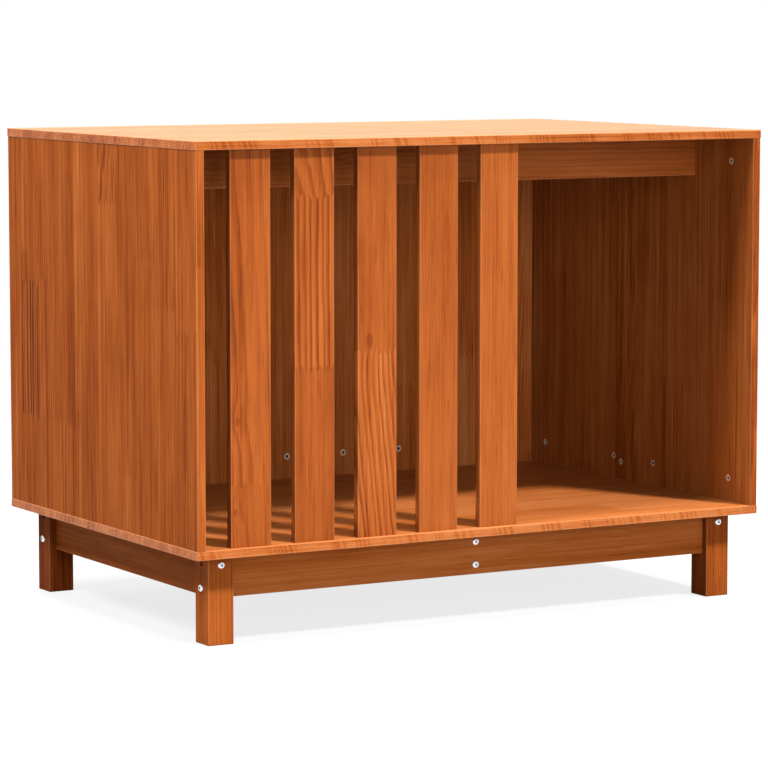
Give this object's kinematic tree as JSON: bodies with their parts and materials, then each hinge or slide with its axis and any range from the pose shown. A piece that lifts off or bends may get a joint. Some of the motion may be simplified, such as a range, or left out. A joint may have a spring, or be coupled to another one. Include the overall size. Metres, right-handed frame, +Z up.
{
  "type": "dog house",
  "caption": "Raised wooden dog house: a pine cabinet on a leg frame, with upright slats beside an open entrance in the front.",
  "frame": {"origin": "on the ground, under the middle of the body's footprint", "axes": "+X to the right along the front with the slats and the entrance, +Y to the back, +Z up"},
  "size_m": [0.9, 0.6, 0.67],
  "materials": {
    "board_pine": "stained pine, satin, with end grain along its edges",
    "panel_pine": "stained pine staves, edge glued and finger jointed, satin",
    "slat_pine": "stained pine strips, upright grain, satin",
    "rail_pine": "stained pine, lengthways grain, satin",
    "frame_pine": "stained pine, lengthways grain, satin",
    "dowel_wood": "plain beech, unstained",
    "plated_steel": "bright zinc plated",
    "cam_zinc": "dull nickel plated zinc"
  },
  "bodies": {
    "root": {"top_board": "board_pine", "bottom_board": "board_pine", "left_side_panel": "panel_pine", "left_panel_cam_locks": "cam_zinc", "left_panel_cam_bolts": "plated_steel", "right_side_panel": "panel_pine", "right_panel_cam_locks": "cam_zinc", "right_panel_cam_bolts": "plated_steel", "back_panel": "panel_pine", "back_panel_cam_locks": "cam_zinc", "back_panel_cam_bolts": "plated_steel", "slat_1": "slat_pine", "slat_2": "slat_pine", "slat_3": "slat_pine", "slat_4": "slat_pine", "slat_5": "slat_pine", "ceiling_rail": "rail_pine", "leg_front_left": "frame_pine", "leg_back_left": "frame_pine", "leg_front_right": "frame_pine", "leg_back_right": "frame_pine", "front_apron": "frame_pine", "back_apron": "frame_pine", "left_apron": "frame_pine", "right_apron": "frame_pine", "centre_bearer": "frame_pine", "side_panel_dowels": "dowel_wood", "back_panel_dowels": "dowel_wood", "slat_dowels": "dowel_wood", "rail_dowels": "dowel_wood", "frame_dowels": "dowel_wood", "leg_bolts": "plated_steel", "bearer_bolts": "plated_steel", "apron_barrel_nuts": "plated_steel", "bearer_barrel_nuts": "plated_steel", "frame_screws": "plated_steel"}
  },
  "joints": []
}
